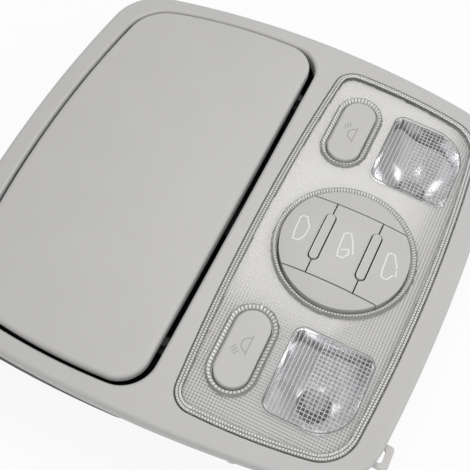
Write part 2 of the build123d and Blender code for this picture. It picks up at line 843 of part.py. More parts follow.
# door panel: crowned skin with a short rim, two hinge knuckles and screw bosses
floor_lift = door_proud - door_skin
with BuildPart() as door_panel:
    add(block(door_plan(), door_bottom_z, above) & crown(door_proud))
    fillet(door_panel.faces().sort_by(Axis.Z)[-1].edges(), door_edge_round)
    hollow = block(door_plan(-door_wall, -door_wall, -door_wall), below, above)
    add(hollow & crown(floor_lift), mode=Mode.SUBTRACT)
    for side in (1, -1):
        ends = (side * knuckle_y, side * (knuckle_y + knuckle_t))
        add(hinge_rod(knuckle_r, *ends))
        with Locations((hinge_x, (ends[0] + ends[1]) / 2, hinge_z)):
            Box(2 * knuckle_r, knuckle_t, knuckle_rise, align=up)
        add(hinge_rod(pin_r + pin_clear, *ends), mode=Mode.SUBTRACT)
    for x, y in door_posts:
        foot = face_z(x, y, floor_lift) - door_post_h
        add(block(disc(both(x, y), door_post_r), foot, foot + door_post_h + lip_drop))
        add(block(disc(both(x, y), screw_r), foot, foot + door_post_h + lip_drop), mode=Mode.SUBTRACT)
save(door_panel, "door_panel")

with BuildPart() as door_screws:
    for x, y in door_posts:
        foot = face_z(x, y, floor_lift) - door_post_h
        with Locations((x, y, foot), (x, -y, foot)):
            Cylinder(door_screw_head_r, screw_head_h, align=down)
            Cylinder(screw_r, door_post_h + lip_drop - screw_clear, align=up)
save(door_screws, "door_screws")


def tray_room(inset, low, lift):
    # walls follow the door outline; the lens-side wall is an arc about the hinge
    back = -tray_inset - inset
    room = block(door_plan(back, back, back), low, above) & crown(lift)
    room = room & hinge_rod(tray_reach - inset, -panel_half, panel_half)
    with BuildSketch() as reach:
        with Locations((tray_left + inset, 0)):
            Rectangle(2 * tray_reach, 2 * panel_half, align=(Align.MIN, Align.CENTER))
    return room & block(reach.sketch, low, above)


tooth_half = (pi * gear_module - backlash) / 4
addendum = 0.85 * gear_module
dedendum = 1.2 * gear_module


def tooth(radius, angle, flare):
    # straight-sided tooth on a gear of that pitch radius, pointing outward at angle in degrees
    depth = dedendum + 0.4 * gear_module
    root = (radius - depth, tooth_half + tooth_lean * depth * flare)
    tip = (radius + addendum, tooth_half - tooth_lean * addendum)
    a = radians(angle)
    corners = [(root[0], -root[1]), (tip[0], -tip[1]), tip, root]
    return [(r * cos(a) - w * sin(a), r * sin(a) + w * cos(a)) for r, w in corners]


# glasses tray: lining of the door with a toothed sector on one side for the damper
step = 360 / sector_teeth
sector_from = mesh_deg - open_deg - 1.2 * step
sector_sweep = open_deg + 2.1 * step
with BuildPart() as glasses_tray:
    add(tray_room(0, tray_open_z, floor_lift))
    with BuildSketch(Plane((hinge_x, gear_y, hinge_z), x_dir=(1, 0, 0), z_dir=(0, -1, 0))):
        with BuildLine():
            outer = CenterArc((0, 0), pitch_sector - dedendum, sector_from, sector_sweep)
            inner = CenterArc((0, 0), pitch_sector - sector_rim, sector_from, sector_sweep)
            Line(outer @ 0, inner @ 0)
            Line(outer @ 1, inner @ 1)
        make_face()
        for k in range(int(open_deg / step) + 3):
            Polygon(*tooth(pitch_sector, mesh_deg + step / 2 - k * step, 1), align=None)
    extrude(amount=-gear_t)
    with BuildSketch(Plane((hinge_x, sector_root_y, 0), x_dir=(1, 0, 0), z_dir=(0, -1, 0))):
        with Locations((sector_root_in, sector_root_z)):
            Rectangle(sector_root_l, sector_root_h)
    extrude(amount=-(gear_y + gear_t - sector_root_y))
    add(tray_room(tray_wall, below, floor_lift - tray_wall), mode=Mode.SUBTRACT)
    for x, y in door_posts:
        add(block(disc(both(x, y), door_post_r + liner_clear), seat_z, above), mode=Mode.SUBTRACT)
save(glasses_tray, "glasses_tray")

with BuildPart() as tray_liner:
    add(tray_room(tray_wall + liner_clear, below, floor_lift - tray_wall))
    add(crown(floor_lift - tray_wall - liner_t), mode=Mode.SUBTRACT)
    for x, y in door_posts:
        add(block(disc(both(x, y), door_screw_head_r + lip_drop), seat_z, above), mode=Mode.SUBTRACT)
save(tray_liner, "tray_liner")

# damper: pinion on the case that runs on the toothed sector of the tray
with BuildPart() as damper_gear:
    with BuildSketch(Plane((pinion_x, gear_y, pinion_z), x_dir=(1, 0, 0), z_dir=(0, -1, 0))):
        Circle(pitch_pinion - dedendum)
        for k in range(pinion_teeth):
            Polygon(*tooth(pitch_pinion, mesh_deg + 180 + k * 360 / pinion_teeth, 0.35), align=None)
    extrude(amount=-gear_t)
    with BuildSketch(Plane((pinion_x, gear_y, pinion_z), x_dir=(1, 0, 0), z_dir=(0, -1, 0))):
        Circle(shaft_r)
    extrude(amount=-(damper_y - gear_y + damper_h - ring_wall))
save(damper_gear, "damper_gear")

damper_plane = Plane((pinion_x, damper_y, pinion_z), x_dir=(1, 0, 0), z_dir=(0, -1, 0))
with BuildPart() as damper_body:
    with BuildSketch(damper_plane):
        Circle(damper_flange_r)
        SlotOverall(damper_ear, damper_ear_w)
    extrude(amount=-damper_flange_t)
    with BuildSketch(damper_plane):
        Circle(damper_r)
    extrude(amount=-damper_h)
    with BuildSketch(damper_plane):
        Circle(shaft_r + shaft_clear)
    extrude(amount=ring_wall - damper_h - screw_clear, mode=Mode.SUBTRACT)
save(damper_body, "damper_body")

# touch latch on the case floor and its striker on the tray
latch_right = case_right - bumper_clear
latch_mid = door_right + bumper_clear
with BuildPart() as latch_body:
    with Locations(((latch_left + latch_right) / 2, 0, floor_z)):
        Box(latch_right - latch_left, latch_w, latch_top - floor_z, align=up)
    with Locations((latch_mid, 0, latch_top)):
        Box(latch_slot, latch_slot_l, latch_slot_depth, align=down, mode=Mode.SUBTRACT)
save(latch_body, "latch_body")

with BuildPart() as latch_striker:
    tongue_x = latch_mid - latch_slot / 6
    with Locations((hinge_x + tray_reach, 0, striker_z)):
        Box(2 * shell, striker_w, striker_plate, align=up)
    add(hinge_rod(tray_reach, -striker_w, striker_w), mode=Mode.SUBTRACT)
    with Locations((tongue_x, 0, latch_top - striker_dip)):
        Box(striker_t, striker_w, striker_z + striker_plate - latch_top + striker_dip, align=up)
save(latch_striker, "latch_striker")


def screws(spots, seat, head, shank):
    with BuildPart() as group:
        with Locations(*[(*place, seat) for x, y in spots for place in both(x, y)]):
            Cylinder(screw_head_r, screw_head_h, align=head)
            Cylinder(screw_r, screw_length, align=shank)
    return group


save(screws(case_posts, seat_z - flange, down, up), "case_screws")
save(screws(lamp_posts, seat_z - flange, down, up), "lamp_screws")
save(screws(board_posts, board_top, up, down), "board_screws")
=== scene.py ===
import json
import math
import bpy
import bmesh
from mathutils import Matrix, Vector
from mathutils.bvhtree import BVHTree
from mathutils.geometry import convex_hull_2d


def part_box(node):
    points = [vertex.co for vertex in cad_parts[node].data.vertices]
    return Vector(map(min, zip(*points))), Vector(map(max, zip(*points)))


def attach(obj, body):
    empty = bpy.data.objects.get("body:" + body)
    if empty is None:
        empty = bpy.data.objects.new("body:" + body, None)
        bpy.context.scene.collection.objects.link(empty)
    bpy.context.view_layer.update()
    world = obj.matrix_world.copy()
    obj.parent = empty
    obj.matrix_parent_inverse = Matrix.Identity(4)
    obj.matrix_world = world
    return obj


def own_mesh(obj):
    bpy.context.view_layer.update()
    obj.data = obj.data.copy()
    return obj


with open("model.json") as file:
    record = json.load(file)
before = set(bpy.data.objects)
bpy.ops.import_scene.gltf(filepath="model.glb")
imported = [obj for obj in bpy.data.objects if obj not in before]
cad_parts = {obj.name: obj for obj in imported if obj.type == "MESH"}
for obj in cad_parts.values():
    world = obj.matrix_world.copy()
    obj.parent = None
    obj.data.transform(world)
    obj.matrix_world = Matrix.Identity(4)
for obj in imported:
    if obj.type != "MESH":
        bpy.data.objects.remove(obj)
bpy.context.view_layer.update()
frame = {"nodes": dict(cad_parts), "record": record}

nodes = frame["nodes"]
mm = 0.001
print("frame loaded:", len(nodes), "pieces")


# small helpers for materials

def startMaterial(name):
    material = bpy.data.materials.new(name)
    material.use_nodes = True
    tree = material.node_tree
    return material, tree, tree.nodes["Principled BSDF"]


def objectCoords(tree):
    return tree.nodes.new("ShaderNodeTexCoord").outputs["Object"]


def noise(tree, size, detail=3.0, rough=0.55):
    node = tree.nodes.new("ShaderNodeTexNoise")
    node.inputs["Scale"].default_value = 1 / size  # size of a speck in metres
    node.inputs["Detail"].default_value = detail
    node.inputs["Roughness"].default_value = rough
    tree.links.new(objectCoords(tree), node.inputs["Vector"])
    return node.outputs["Fac"]


def ramp(tree, source, stops):
    node = tree.nodes.new("ShaderNodeValToRGB")
    while len(node.color_ramp.elements) < len(stops):
        node.color_ramp.elements.new(0.5)
    for element, (place, colour) in zip(node.color_ramp.elements, stops):
        element.position = place
        element.color = (*colour, 1)
    tree.links.new(source, node.inputs["Fac"])
    return node.outputs["Color"]


def spread(tree, source, low, high):
    node = tree.nodes.new("ShaderNodeMapRange")
    node.inputs["To Min"].default_value = low
    node.inputs["To Max"].default_value = high
    tree.links.new(source, node.inputs["Value"])
    return node.outputs["Result"]


def bump(tree, shader, source, depth):
    node = tree.nodes.new("ShaderNodeBump")
    node.inputs["Distance"].default_value = depth
    tree.links.new(source, node.inputs["Height"])
    tree.links.new(node.outputs["Normal"], shader.inputs["Normal"])


def shade(colour, factor):
    return tuple(min(1.0, c * factor) for c in colour)


def tint(tree, shader, source, colour, low, high):
    stops = [(0.3, shade(colour, low)), (0.7, shade(colour, high))]
    tree.links.new(ramp(tree, source, stops), shader.inputs["Base Color"])


def gloss(tree, shader, source, low, high):
    tree.links.new(spread(tree, source, low, high), shader.inputs["Roughness"])


speck = {"cloud": 28 * mm, "patch": 6 * mm, "grain": 0.45 * mm, "clear": 9 * mm, "prism": 3 * mm,
         "fibre": 0.8 * mm, "mask": 4 * mm}  # sizes of the noise in each finish


def moulded(name, colour, rough=(0.38, 0.5), depth=0.02 * mm, specular=0.5):
    # moulded plastic: fine spark-eroded grain, slightly cloudy colour
    material, tree, shader = startMaterial(name)
    tint(tree, shader, noise(tree, speck["cloud"], 2.0), colour, 0.985, 1.015)
    gloss(tree, shader, noise(tree, speck["patch"]), *rough)
    shader.inputs["Specular IOR Level"].default_value = specular
    bump(tree, shader, noise(tree, speck["grain"], 2.0), depth)
    return material


acrylicIor = 1.49


def clearPlastic(name, colour, alpha, rough):
    material, tree, shader = startMaterial(name)
    shader.inputs["Base Color"].default_value = (*colour, 1)
    shader.inputs["Alpha"].default_value = alpha
    shader.inputs["IOR"].default_value = acrylicIor
    gloss(tree, shader, noise(tree, speck["clear"]), rough * 0.7, rough * 1.3)
    return material


def paintedShadePlastic(name, light, dark, alpha, rough):
    # clear prisms: pale on the ridges, with painted shade darkening them down in the valleys
    material, tree, shader = startMaterial(name)
    paintedShade = tree.nodes.new("ShaderNodeAttribute")
    paintedShade.attribute_name = "paintedShade"
    stops = [(0.0, light), (0.55, shade(light, 0.85)), (1.0, dark)]
    tree.links.new(ramp(tree, paintedShade.outputs["Fac"], stops), shader.inputs["Base Color"])
    shader.inputs["Alpha"].default_value = alpha
    shader.inputs["IOR"].default_value = acrylicIor
    gloss(tree, shader, noise(tree, speck["prism"]), rough * 0.7, rough * 1.4)
    return material


def metal(name, colour, rough, grain, depth):
    material, tree, shader = startMaterial(name)
    fleck = noise(tree, grain)
    tint(tree, shader, fleck, colour, 0.92, 1.05)
    shader.inputs["Metallic"].default_value = 1.0
    gloss(tree, shader, fleck, *rough)
    bump(tree, shader, fleck, depth)
    return material


def felt(name, colour):
    material, tree, shader = startMaterial(name)
    fibre = noise(tree, speck["fibre"], 6.0, 0.7)
    tint(tree, shader, fibre, colour, 0.6, 1.5)
    shader.inputs["Roughness"].default_value = 0.95
    shader.inputs["Sheen Weight"].default_value = 0.4
    bump(tree, shader, fibre, 0.25 * mm)
    return material


def solderMask(name, colour):
    # green board: fine tracks show as lighter lines under the mask
    material, tree, shader = startMaterial(name)
    tracks = tree.nodes.new("ShaderNodeTexBrick")
    tracks.inputs["Scale"].default_value = 90.0
    tracks.inputs["Mortar Size"].default_value = 0.06
    tracks.inputs["Color1"].default_value = (*colour, 1)
    tracks.inputs["Color2"].default_value = (*shade(colour, 0.85), 1)
    tracks.inputs["Mortar"].default_value = (*shade(colour, 1.7), 1)
    tree.links.new(objectCoords(tree), tracks.inputs["Vector"])
    tree.links.new(tracks.outputs["Color"], shader.inputs["Base Color"])
    gloss(tree, shader, noise(tree, speck["mask"]), 0.25, 0.4)
    return material


finishes = {
    "grey": moulded("greyPlastic", (0.552, 0.545, 0.532)),
    "insideGrey": moulded("insideGrey", (0.6, 0.59, 0.575), rough=(0.5, 0.6)),
    "lens": clearPlastic("lensClear", (0.72, 0.72, 0.71), 0.07, 0.06),
    # lens prism field: painted shade darkens its grooves
    "field": paintedShadePlastic("lensPrismsPaintedShade", (0.92, 0.905, 0.885), (0.32, 0.31, 0.3), 0.85, 0.42),
    # window ribs: painted light on one edge of each line, painted shade on the other
    "ribLine": paintedShadePlastic("windowLinesPaintedLightAndShade", (0.97, 0.97, 0.99), (0.75, 0.75, 0.77), 0.5, 0.12),
    # window rims: dark see-through lines of painted shade, laid over the reflector rim's bright reflection
    "rim": paintedShadePlastic("windowRimPaintedShade", (0.3, 0.3, 0.3), (0.2, 0.2, 0.2), 0.55, 0.12),
    # edge prisms: painted shade darkens each tooth toward its base
    "prism": paintedShadePlastic("edgePrismsPaintedShade", (0.97, 0.97, 0.95), (0.14, 0.14, 0.14), 0.92, 0.08),
    # switch ring prisms: a lighter copy of the edge prisms, painted light against the shade in the sunken
    # rings, with painted shade in their valleys
    "ringPrism": paintedShadePlastic("ringPrismsPaintedLightAndShade", (0.99, 0.99, 0.97), (0.2, 0.2, 0.2), 0.95, 0.08),
    "mirror": metal("metallised", (0.94, 0.94, 0.955), (0.12, 0.17), 5 * mm, 0.01 * mm),
    "bulbGlass": clearPlastic("bulbGlass", (0.95, 0.95, 0.95), 0.3, 0.04),
    "black": moulded("blackPlastic", (0.022, 0.022, 0.024), rough=(0.4, 0.5)),
    "dark": moulded("darkPlastic", (0.03, 0.03, 0.032), rough=(0.5, 0.62), depth=0.03 * mm),
    "gear": moulded("gearPlastic", (0.78, 0.76, 0.7), rough=(0.4, 0.5), depth=0.008 * mm),
    "board": solderMask("solderMask", (0.02, 0.16, 0.07)),
    "brass": metal("brassStrip", (0.75, 0.58, 0.28), (0.22, 0.38), 2 * mm, 0.01 * mm),
    "steel": metal("zincSteel", (0.6, 0.6, 0.61), (0.25, 0.42), 1.2 * mm, 0.01 * mm),
    "rubber": moulded("rubberBlack", (0.03, 0.03, 0.03), rough=(0.7, 0.85), specular=0.3),
    "felt": felt("trayFelt", (0.05, 0.05, 0.053)),
    "print": moulded("whitePrint", (0.86, 0.86, 0.85), rough=(0.5, 0.6), depth=0.004 * mm),
    # engraved marks: dark grey painted shade standing for the shade inside the engraved lamp sign
    "engravingShade": moulded("engravedMarkPaintedShade", (0.36, 0.35, 0.34), rough=(0.5, 0.6), depth=0.004 * mm),
}

slotFinish = {
    "grey_plastic": "grey", "clear_plastic": "lens", "metallised": "mirror", "bulb_glass": "bulbGlass",
    "black_plastic": "black", "dark_plastic": "dark", "gear_plastic": "gear", "board": "board",
    "brass": "brass", "steel": "steel", "rubber": "rubber", "felt": "felt",
}
for piece in frame["record"]["subparts"]:
    finish = slotFinish[piece["material_slot"]]
    if piece["node"] in ("inner_panel", "lamp_housing"):
        finish = "insideGrey"
    mesh = nodes[piece["node"]].data
    mesh.materials.clear()
    mesh.materials.append(finishes[finish])


# helpers for new pieces

def addPiece(name, shape, finish, body):
    mesh = bpy.data.meshes.new(name)
    bmesh.ops.delete(shape, geom=[v for v in shape.verts if not v.link_faces], context="VERTS")
    bmesh.ops.recalc_face_normals(shape, faces=shape.faces)
    shape.to_mesh(mesh)  # with its painted-shade attribute, where it has one
    shape.free()
    mesh.materials.append(finishes[finish])
    piece = bpy.data.objects.new(name, mesh)
    bpy.context.scene.collection.objects.link(piece)
    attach(piece, body)
    return piece


def thicken(piece, thickness):
    wall = piece.modifiers.new("wall", "SOLIDIFY")
    wall.thickness = thickness
    wall.offset = -1


def surfaceOf(*names):
    verts, faces = [], []
    for name in names:
        mesh = nodes[name].data
        start = len(verts)
        verts.extend(v.co.copy() for v in mesh.vertices)
        faces.extend([start + i for i in p.vertices] for p in mesh.polygons)
    return BVHTree.FromPolygons(verts, faces)


dropFrom = 200 * mm  # well above the part


def drop(surface, x, y):
    # the surface's height and normal straight under a point
    place, normal, _, _ = surface.ray_cast(Vector((x, y, dropFrom)), Vector((0, 0, -1)))
    return place, normal


def evenly(loop, pitch):
    # points at an even pitch round a closed loop, each with the loop's direction there
    lengths = [(loop[i] - loop[i - 1]).length for i in range(len(loop))]
    count = int(round(sum(lengths) / pitch))
    step = sum(lengths) / count
    places = []
    walked, index = 0.0, 0
    for k in range(count):
        while walked + lengths[index] < k * step:
            walked += lengths[index]
            index += 1
        start, end = loop[index - 1], loop[index]
        along = (end - start).normalized()
        places.append((start + along * (k * step - walked), along))
    return places


def flat(vector):
    return Vector((vector.x, vector.y))


lensSurface = surfaceOf("lens")
lensLow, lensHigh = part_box("lens")
skirtBand = 0.1 * mm  # the lens's lowest points give its outline
skirt = [flat(v.co) for v in nodes["lens"].data.vertices if v.co.z < lensLow.z + skirtBand]
lensOutline = [skirt[i] for i in convex_hull_2d(skirt)]
discLow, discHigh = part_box("switch_frame")
discMid = Vector(((discLow.x + discHigh.x) / 2, 0))
discRadius = (discHigh.x - discLow.x) / 2


def circleLoop(middle, radius, count=240):
    turns = [2 * math.pi * k / count for k in range(count)]
    return [middle + Vector((math.cos(t), math.sin(t))) * radius for t in turns]


def ovalLoop(node, grow, count=60):
    low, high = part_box(node)
    middle = flat(low + high) / 2
    radius = (high.x - low.x) / 2
    straight = (high.y - low.y) / 2 - radius
    loop = []
    for end in (1, -1):
        for k in range(count + 1):
            turn = math.pi * k / count + (0 if end > 0 else math.pi)
            out = Vector((math.cos(turn), math.sin(turn))) * (radius + grow)
            loop.append(middle + Vector((0, end * straight)) + out)
    return loop


# prism teeth round the lens edge and the switch rings
teeth = {"height": 0.42 * mm, "sink": 0.02 * mm, "tip": 0.08,
         "edgePitch": 1.25 * mm, "rowWidth": 1.3 * mm, "rows": ((0.85 * mm, 0.0), (2.2 * mm, 0.5)),
         "discPitch": 1.3 * mm, "discWidth": 2.7 * mm, "discOut": 1.8 * mm,
         "ovalPitch": 1.6 * mm, "ovalWidth": 2.7 * mm, "ovalOut": 1.75 * mm}


def prismShape():
    shape = bmesh.new()
    # each vertex carries its share of painted shade for the prism materials
    shape.verts.layers.float.new("paintedShade")
    return shape


def toothShape():
    # one four-sided prism of unit size with a small flat tip
    shape = bmesh.new()
    quarter = Matrix.Rotation(math.radians(45), 4, "Z")
    bmesh.ops.create_cone(shape, cap_ends=True, segments=4, radius1=math.sqrt(0.5), radius2=teeth["tip"],
                          depth=1, matrix=quarter)
    shape.verts.index_update()
    spots = [v.co.copy() for v in shape.verts]
    sides = [[v.index for v in f.verts] for f in shape.faces]
    shape.free()
    return spots, sides


toothSpots, toothSides = toothShape()


def addTooth(shape, place, along, width, length):
    ground, normal = drop(lensSurface, place.x, place.y)
    if ground is None:
        return
    alongAxis = Vector((along.x, along.y, 0))
    alongAxis = (alongAxis - normal * normal.dot(alongAxis)).normalized()
    turn = Matrix((alongAxis, normal.cross(alongAxis), normal)).transposed().to_4x4()
    size = Matrix.Diagonal((length, width, teeth["height"], 1))
    put = Matrix.Translation(ground + normal * (teeth["height"] / 2 - teeth["sink"])) @ turn @ size
    paintedShade = shape.verts.layers.float["paintedShade"]
    corners = [shape.verts.new(put @ spot) for spot in toothSpots]
    for corner, spot in zip(corners, toothSpots):
        # painted shade: darkest at each tooth's base, none at its tip
        corner[paintedShade] = 0.5 - spot.z
    for side in toothSides:
        shape.faces.new([corners[i] for i in side])


edgeTeeth = prismShape()
for inset, shift in teeth["rows"]:
    for place, along in evenly(lensOutline, teeth["edgePitch"]):
        inward = Vector((-along.y, along.x))
        spot = place + along * shift * teeth["edgePitch"] + inward * inset
        addTooth(edgeTeeth, spot, along, teeth["rowWidth"], teeth["edgePitch"])
addPiece("lens_edge_prisms", edgeTeeth, "prism", "console")

ringTeeth = prismShape()
for place, along in evenly(circleLoop(discMid, discRadius + teeth["discOut"]), teeth["discPitch"]):
    addTooth(ringTeeth, place, along, teeth["discWidth"], teeth["discPitch"])
for node in ("left_map_button", "right_map_button"):
    for place, along in evenly(ovalLoop(node, teeth["ovalOut"]), teeth["ovalPitch"]):
        addTooth(ringTeeth, place, along, teeth["ovalWidth"], teeth["ovalPitch"])
addPiece("lens_ring_prisms", ringTeeth, "ringPrism", "console")
print("prism teeth made")


# prism lines moulded on the lens's inner side, and ribs in the lamp windows
field = {"pitch": 1.35 * mm, "depth": 0.22 * mm, "crossDepth": 0.12 * mm, "under": 2.02 * mm,
         "sheet": 0.12 * mm, "edge": 3.0 * mm, "edgeStep": 2 * mm,
         "windowLap": 0.4 * mm, "switchGap": 3.4 * mm,
         "nearFrom": 5, "nearOver": 40, "lampFrom": 60, "lampOver": 20,  # where the cross lines grow, in mm
         "linePaintedShade": 0.55, "crossPaintedShade": 0.85, "plainShadeShare": 0.6, "crossShadeShare": 0.4}
window = {"left": 46.4 * mm, "right": 83.1 * mm, "near": 39.9 * mm, "far": 80.2 * mm, "corner": 5.5 * mm,
          "cornerOut": 17.0 * mm, "pitch": 1.8 * mm, "gridFrom": 60.0 * mm}


def saw(value, pitch):
    # 0 to 1 and back over each pitch
    return 1 - abs(2 * (value / pitch % 1) - 1)


def insideLoop(loop, point):
    inside = False
    for i in range(len(loop)):
        a, b = loop[i - 1], loop[i]
        crosses = (a.y > point.y) != (b.y > point.y)
        if crosses and point.x < a.x + (b.x - a.x) * (point.y - a.y) / (b.y - a.y):
            inside = not inside
    return inside


def windowCorner(cornerX, cornerY):
    radius = window["cornerOut"] if cornerX > 0 and cornerY > 0 else window["corner"]
    midX = window["right"] - radius if cornerX > 0 else window["left"] + radius
    midY = window["far"] - radius if cornerY > 0 else window["near"] + radius
    return cornerX, cornerY, midX, midY, radius


# in order round the window, from its large outer corner
windowCorners = [windowCorner(*corner) for corner in ((1, 1), (-1, 1), (-1, -1), (1, -1))]


def inWindow(point, grow):
    x, y = point.x, abs(point.y)
    if not window["left"] - grow < x < window["right"] + grow:
        return False
    if not window["near"] - grow < y < window["far"] + grow:
        return False
    for cornerX, cornerY, midX, midY, radius in windowCorners:
        if (x - midX) * cornerX > 0 and (y - midY) * cornerY > 0:
            return math.hypot(x - midX, y - midY) < radius + grow
    return True


ovalBoxes = [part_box(node) for node in ("left_map_button", "right_map_button")]


def inOval(point, grow):
    for low, high in ovalBoxes:
        radius = (high.x - low.x) / 2
        straight = (high.y - low.y) / 2 - radius
        beyond = max(0.0, abs(point.y - (low.y + high.y) / 2) - straight)
        if math.hypot(point.x - (low.x + high.x) / 2, beyond) < radius + grow:
            return True
    return False


def lensGrid(step):
    shape = prismShape()
    wide, long = lensHigh.x - lensLow.x, lensHigh.y - lensLow.y
    middle = Matrix.Translation(((lensHigh.x + lensLow.x) / 2, 0, 0))
    bmesh.ops.create_grid(shape, x_segments=int(wide / step), y_segments=int(long / step), size=1,
                          matrix=middle @ Matrix.Diagonal((wide / 2, long / 2, 1, 1)))
    return shape


def keepFaces(shape, wanted):
    spare = [f for f in shape.faces if not wanted(f.calc_center_median())]
    bmesh.ops.delete(shape, geom=spare, context="FACES")


crown = {"apexX": -6 * mm, "apexZ": 46.4 * mm, "radiusX": 950 * mm, "radiusY": 1600 * mm}


def crownZ(x, y):
    # height of the lens's crowned outer face, carried on across its openings
    bow = crown["radiusY"] - crown["radiusX"] + math.sqrt(crown["radiusX"] ** 2 - (x - crown["apexX"]) ** 2)
    return crown["apexZ"] - crown["radiusY"] + math.sqrt(bow**2 - y**2)


insideEdge = [p + Vector((-a.y, a.x)) * field["edge"] for p, a in evenly(lensOutline, field["edgeStep"])]


def inField(point):
    # inside the toothed edge, and clear of the windows and the switches
    if not insideLoop(insideEdge, point) or inWindow(point, -field["windowLap"]):
        return False
    clear = (flat(point) - discMid).length > discRadius + field["switchGap"]
    return clear and not inOval(point, field["switchGap"])


fieldShape = lensGrid(field["pitch"] / 2)
keepFaces(fieldShape, inField)
paintedShade = fieldShape.verts.layers.float["paintedShade"]
for v in fieldShape.verts:
    x, y = v.co.x, v.co.y
    lines, cross = saw(y, field["pitch"]), saw(x, field["pitch"])
    # the cross lines grow stronger toward the near end and the lamp side
    nearPart = max(0.0, (-y / mm - field["nearFrom"]) / field["nearOver"])
    lampPart = max(0.0, (x / mm - field["lampFrom"]) / field["lampOver"])
    crossPart = min(1.0, nearPart + lampPart)
    v.co.z = crownZ(x, y) - field["under"] - field["depth"] * lines - field["crossDepth"] * crossPart * cross
    # painted shade, darkest down in the line grooves and in the cross grooves where they grow
    dark = field["linePaintedShade"] * lines + field["crossPaintedShade"] * crossPart * cross
    v[paintedShade] = dark * (field["plainShadeShare"] + field["crossShadeShare"] * crossPart)
thicken(addPiece("lens_prism_lines", fieldShape, "field", "console"), field["sheet"])

# fine ribs across each window, crossed on its outer half, and a thin dark rim line round it, painted shade
# laid over the window outline
ribLine = {"width": 0.36 * mm, "step": 0.9 * mm, "above": 0.03 * mm, "crossAbove": 0.06 * mm,
           "inset": 0.5 * mm, "rimWidth": 0.5 * mm, "rimUnder": 0.62 * mm, "rimInset": 0.35 * mm,
           "rimSeam": 0.1 * mm, "rimSteps": 12}


def ribbon(shape, points, width, under, wanted=None):
    # a narrow strip along the points, lying under the crowned face, with painted light on one edge and
    # painted shade on the other
    paintedShade = shape.verts.layers.float["paintedShade"]
    rows = []
    for index, point in enumerate(points):
        along = points[min(index + 1, len(points) - 1)] - points[max(index - 1, 0)]
        side = Vector((-along.y, along.x)).normalized() * width / 2
        row = None
        if wanted is None or wanted(point):
            spots = (point - side, point + side)
            row = [shape.verts.new((p.x, p.y, crownZ(p.x, p.y) - under)) for p in spots]
            # painted light on the first edge, painted shade on the second
            row[0][paintedShade], row[1][paintedShade] = 0.0, 1.0
        rows.append(row)
    for a, b in zip(rows, rows[1:]):
        if a and b:
            shape.faces.new((a[0], a[1], b[1], b[0]))


def between(start, end):
    count = int((end - start).length / ribLine["step"])
    return [start.lerp(end, k / count) for k in range(count + 1)]


def inRibs(point):
    return inWindow(point, -ribLine["inset"])


def windowLoop(side, grow):
    loop = []
    for corner, (_, _, midX, midY, radius) in enumerate(windowCorners):
        out = radius + grow
        for k in range(ribLine["rimSteps"] + 1):
            turn = math.radians(90 * corner + 90 / ribLine["rimSteps"] * k)
            loop.append(Vector((midX + out * math.cos(turn), side * (midY + out * math.sin(turn)))))
    return loop + loop[:1]


lineShape = prismShape()
rimShadeShape = prismShape()
firstLine = math.ceil(window["left"] / window["pitch"])
lineCount = int((window["right"] - window["left"]) / window["pitch"]) + 1
crossCount = int((window["far"] - window["near"]) / window["pitch"]) + 1
for side in (1, -1):
    near, far = side * window["near"], side * window["far"]
    for k in range(lineCount):
        x = (firstLine + k + 0.5) * window["pitch"]
        line = between(Vector((x, near)), Vector((x, far)))
        ribbon(lineShape, line, ribLine["width"], field["under"] - ribLine["above"], inRibs)
    for k in range(crossCount):
        y = near + side * (k + 0.5) * window["pitch"]
        line = between(Vector((window["gridFrom"], y)), Vector((window["right"], y)))
        ribbon(lineShape, line, ribLine["width"], field["under"] - ribLine["crossAbove"], inRibs)
    ribbon(rimShadeShape, windowLoop(side, -ribLine["rimInset"]), ribLine["rimWidth"], ribLine["rimUnder"])
bmesh.ops.remove_doubles(rimShadeShape, verts=rimShadeShape.verts, dist=ribLine["rimSeam"])  # closes each rim's seam
thicken(addPiece("lens_window_ribs", lineShape, "ribLine", "console"), field["sheet"])
thicken(addPiece("lens_window_rims", rimShadeShape, "rim", "console"), field["sheet"])
print("lens prisms made")


# printed car outlines on the three keys, and moulded lamp signs on the map buttons drawn as dark grey
# strokes: painted shade for the engraved lines
sign = {"line": 0.55 * mm, "height": 0.05 * mm, "step": 1.0 * mm, "spacing": 20.4 * mm,
        "shiftX": 0.3 * mm, "shiftY": 0.2 * mm}
carOutline = [(-3.2, 2.9), (-6.2, 1.2), (-6.2, -1.4), (-2.5, -2.0), (5.0, -2.4), (6.1, -1.5), (6.3, 0.4),
              (1.6, 3.1)]
openEnd = (0.6, 3.1)
doorLines = [[(-2.6, -0.6), (-1.9, 1.1), (-1.2, 2.0), (-3.2, 2.9)], [(0.3, 3.4), (-2.6, 4.6)]]
hatchLines = [[(-0.4, 3.7), (-2.8, 4.2)]]


def stroke(shape, start, end, surface, width):
    # a thin flat bar that follows the surface from start to end
    along = (end - start).normalized()
    side = Vector((-along.y, along.x)) * width / 2
    count = max(1, int((end - start).length / sign["step"]))
    rows = []
    for k in range(count + 1):
        reach = width / 2 if k == count else -width / 2 if k == 0 else 0  # half a width past each end
        middle = start + (end - start) * k / count + along * reach
        row = []
        for edge in (-1, 1):
            ground, normal = drop(surface, *(middle + side * edge))
            row.append(shape.verts.new(ground + normal * sign["height"]))
        rows.append(row)
    for a, b in zip(rows, rows[1:]):
        shape.faces.new((a[0], a[1], b[1], b[0]))


def strokes(name, lines, node, body, finish, width):
    surface = surfaceOf(node)
    shape = bmesh.new()
    for line in lines:
        for start, end in zip(line, line[1:]):
            stroke(shape, Vector(start), Vector(end), surface, width)
    thicken(addPiece(name, shape, finish, body), sign["height"])


def carLines(middle, kind):
    # the plain outline is closed; the other two have an open side with their own strokes
    extra = ([], doorLines, hatchLines)[kind]
    lines = [carOutline + ([openEnd] if extra else carOutline[:1])] + extra
    return [[middle + Vector((v, u)) * mm for u, v in line] for line in lines]


for kind, key in enumerate(("door_side", "centre", "rear")):
    middle = discMid + Vector(((kind - 1) * sign["spacing"] - sign["shiftX"], sign["shiftY"]))
    node = key + "_button"
    strokes(node + "_sign", carLines(middle, kind), node, key + "_key", "print", sign["line"])

